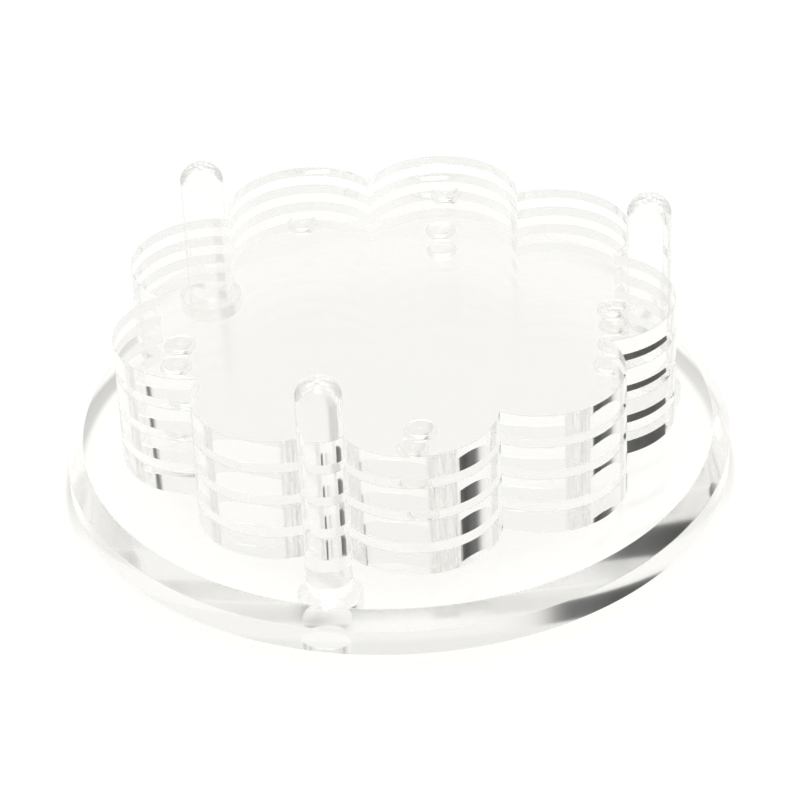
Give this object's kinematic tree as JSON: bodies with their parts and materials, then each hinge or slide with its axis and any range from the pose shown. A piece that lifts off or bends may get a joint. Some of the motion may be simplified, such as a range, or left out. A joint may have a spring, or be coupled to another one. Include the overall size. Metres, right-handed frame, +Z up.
{
  "type": "scalloped plate stack",
  "caption": "Clear scalloped plates stacked on a round bevelled base between three round-nosed posts. Each plate lifts off; soft bumpers keep the plates apart.",
  "frame": {"origin": "centre of the base disc, on the surface that the feet stand on", "axes": "+Z up along the posts; the front post is on -Y; one lobe of each plate points along +Y"},
  "size_m": [0.12, 0.12, 0.0514],
  "materials": {
    "clear_acrylic": "polished clear acrylic",
    "soft_clear": "smooth clear soft polyurethane"
  },
  "bodies": {
    "base": {"base_disc": "clear_acrylic", "post_front": "clear_acrylic", "post_right": "clear_acrylic", "post_left": "clear_acrylic", "foot_front": "soft_clear", "foot_right": "soft_clear", "foot_left": "soft_clear"},
    "plate_1_body": {"plate_1": "clear_acrylic", "plate_1_bumper_a": "soft_clear", "plate_1_bumper_b": "soft_clear", "plate_1_bumper_c": "soft_clear", "plate_1_bumper_d": "soft_clear"},
    "plate_2_body": {"plate_2": "clear_acrylic", "plate_2_bumper_a": "soft_clear", "plate_2_bumper_b": "soft_clear", "plate_2_bumper_c": "soft_clear", "plate_2_bumper_d": "soft_clear"},
    "plate_3_body": {"plate_3": "clear_acrylic", "plate_3_bumper_a": "soft_clear", "plate_3_bumper_b": "soft_clear", "plate_3_bumper_c": "soft_clear", "plate_3_bumper_d": "soft_clear"},
    "plate_4_body": {"plate_4": "clear_acrylic", "plate_4_bumper_a": "soft_clear", "plate_4_bumper_b": "soft_clear", "plate_4_bumper_c": "soft_clear", "plate_4_bumper_d": "soft_clear"}
  },
  "joints": [
    {"name": "plate_1_lift", "type": "slide", "parent": "base", "child": "plate_1_body", "axis": [0, 0, 1], "range_m": [0, 0.045]},
    {"name": "plate_2_lift", "type": "slide", "parent": "plate_1_body", "child": "plate_2_body", "axis": [0, 0, 1], "range_m": [0, 0.038]},
    {"name": "plate_3_lift", "type": "slide", "parent": "plate_2_body", "child": "plate_3_body", "axis": [0, 0, 1], "range_m": [0, 0.032]},
    {"name": "plate_4_lift", "type": "slide", "parent": "plate_3_body", "child": "plate_4_body", "axis": [0, 0, 1], "range_m": [0, 0.025]}
  ]
}
